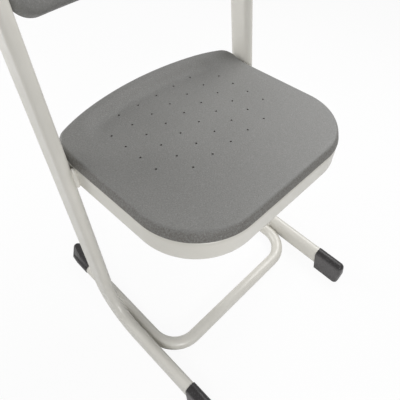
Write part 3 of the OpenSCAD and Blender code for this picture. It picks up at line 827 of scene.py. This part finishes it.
def disc_rim(centre, radius, axis):
    """Points on a circle round a centre, square to the axis named by its letter"""
    points = []
    for i in range(cap_fine):
        a = 2 * math.pi * i / cap_fine
        u, v = radius * math.cos(a), radius * math.sin(a)
        points.append(Vector(centre) + Vector((u, 0, v) if axis == "y" else (u, v, 0)))
    return points


def ball(centre, radius):
    """Points on a ball, in circles square to Z"""
    points = []
    for i in range(1, cap_fine // 2):
        a = math.pi * i / (cap_fine // 2)
        middle = Vector(centre) + Vector((0, 0, radius * math.cos(a)))
        points += disc_rim(middle, radius * math.sin(a), "z")
    return points


def rounded_disc(centre, radius, edge_r, axis, way):
    """Circles of a post's rounded end, narrowing towards it. way is 1 or -1, along the axis."""
    points = []
    step = Vector((0, way, 0) if axis == "y" else (0, 0, way))
    for i in range(quarter_steps + 1):
        a = math.radians(90 * i / quarter_steps)
        middle = Vector(centre) - step * edge_r * (1 - math.sin(a))
        points += disc_rim(middle, radius - edge_r * (1 - math.cos(a)), axis)
    return points


def hulled_cap(name, shape, bore, place):
    """A cap in the smallest convex shape round some points, with a bore cut into it"""
    solids = []
    for points in (shape, bore):
        mesh = bpy.data.meshes.new(name)
        build = bmesh.new()
        for p in points:
            build.verts.new(place @ p)
        hull = bmesh.ops.convex_hull(build, input=build.verts)
        bmesh.ops.delete(build, geom=list(set(hull["geom_interior"])), context="VERTS")
        bmesh.ops.dissolve_limit(
            build, angle_limit=hull_flat_angle, verts=build.verts, edges=build.edges)
        build.to_mesh(mesh)
        build.free()
        solids.append(bpy.data.objects.new(name, mesh))
        scene.collection.objects.link(solids[-1])
    body, cutter = solids
    cut = body.modifiers.new("bore", "BOOLEAN")
    cut.operation = "DIFFERENCE"
    cut.object = cutter
    cut.solver = "EXACT"
    bpy.context.view_layer.update()
    settled = body.evaluated_get(bpy.context.evaluated_depsgraph_get())
    made = bpy.data.meshes.new_from_object(settled)
    for solid in solids:
        bpy.data.objects.remove(solid)
    piece = finished_piece(name, made, cap_plastic, cap_sharp_angle)
    even = piece.modifiers.new("even_shading", "WEIGHTED_NORMAL")
    even.keep_sharp = True
    return piece


def flat_oval_rims(long, short, depths, centre_z):
    """Points round a flat oval that stands on its narrow side, at some depths along Y"""
    points = []
    for y in depths:
        for end in (-1, 1):
            points += disc_rim((0, y, centre_z + end * (long - short) / 2), short / 2, "y")
    return points


half_w = front_cap_w / 2
top_r = side_tube_w / 2 + cap_wall
top_z = runner_z + (side_tube_d - side_tube_w) / 2
# The sleeve's top from the nose to the mouth, the two upright posts of the nose, a ridge along each
# side, and the sole's rounded edges
front_shape = (
    rounded_disc((0, front_top_back, top_z), top_r, front_top_soft, "y", -1)
    + rounded_disc((0, front_cap_len, top_z), top_r, sleeve_end_r, "y", 1)
)
for x in (front_nose_r - half_w, half_w - front_nose_r):
    front_shape += rounded_disc((x, front_nose_r, 0), front_nose_r, front_edge_r, "z", -1)
    front_shape += rounded_disc((x, front_nose_r, front_nose_h), front_nose_r, front_nose_soft, "z", 1)
for x in (-top_r - side_ridge, top_r + side_ridge):
    front_shape += [Vector((x, front_nose_r, top_z)), Vector((x, front_cap_len - sleeve_end_r, top_z))]
for x in (front_edge_r - half_w, half_w - front_edge_r):
    for y in (front_nose_r, front_cap_len - front_rim_lean - front_edge_r):
        front_shape += ball((x, y, front_edge_r), front_edge_r)
        front_shape += ball((x, y, front_sole - front_edge_r), front_edge_r)
front_bore = flat_oval_rims(
    side_tube_d + 2 * cap_slack, side_tube_w + 2 * cap_slack,
    (front_cap_len - front_bore_depth, front_cap_len + bore_overrun), runner_z)
for side, x_side in (("left", -1), ("right", 1)):
    place = Matrix.Translation((x_side * gauge / 2, -base_half, 0)) @ Matrix.Diagonal((x_side, 1, 1, 1))
    cap = hulled_cap(f"front_foot_cap_{side}", front_shape, front_bore, place)
    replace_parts(cap, f"front_cap_{side}")

# Rear foot caps: the same plastic on the base tube's rear ends. A round sleeve with a narrow flat sole,
# whose outer side tapers to an upright rounded nose.
base_tube_dia = 0.026
rear_cap_len = 0.072
rear_cap_w = 0.012
rear_cap_end = 0.040
rear_wide_end = 0.019
rear_wide_r = 0.0122
rear_nose_r = 0.009
rear_nose_in = 0.009
rear_bevel = 0.004
rear_sole_r = 0.001
base_leg_x = gauge / 2 - side_tube_w / 2 - cap_slack - base_tube_dia / 2
sleeve_r = base_tube_dia / 2 + cap_wall
rear_top = base_tube_z + sleeve_r
# The round of the sleeve over the tube's end, a smaller one behind it, the sleeve's mouth, the upright
# nose from its top to its foot, and the sole's rounded edges
rear_shape = (
    disc_rim((0, cap_wall - rear_cap_end, base_tube_z), sleeve_r, "y")
    + disc_rim((0, -rear_wide_end, base_tube_z), rear_wide_r, "y")
    + rounded_disc((0, -rear_cap_len, base_tube_z), sleeve_r, sleeve_end_r, "y", -1)
    + rounded_disc((-rear_nose_in, -rear_nose_r, rear_top), rear_nose_r, rear_bevel, "z", 1)
    + rounded_disc((-rear_nose_in, -rear_nose_r, 0), rear_nose_r, rear_bevel, "z", -1)
)
for x in (rear_sole_r - rear_cap_w / 2, rear_cap_w / 2 - rear_sole_r):
    for y in (rear_sole_r - rear_cap_len, cap_wall - rear_cap_end):
        rear_shape += ball((x, y, rear_sole_r), rear_sole_r)
rear_bore = []
for y in (-rear_cap_end, -rear_cap_len - bore_overrun):
    rear_bore += disc_rim((0, y, base_tube_z), base_tube_dia / 2 + cap_slack, "y")
for side, x_side in (("left", -1), ("right", 1)):
    place = Matrix.Translation((x_side * base_leg_x, base_half, 0)) @ Matrix.Diagonal((x_side, 1, 1, 1))
    cap = hulled_cap(f"rear_foot_cap_{side}", rear_shape, rear_bore, place)
    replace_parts(cap, f"rear_cap_{side}")

# Plugs: flat-oval heads of the same plastic, each with a shank that is pressed into an open tube end:
# the tops of the two uprights and the two rear ends of the seat ring.
for node in ("top_plug_left", "top_plug_right", "ring_end_plugs"):
    dress(node, cap_plastic)
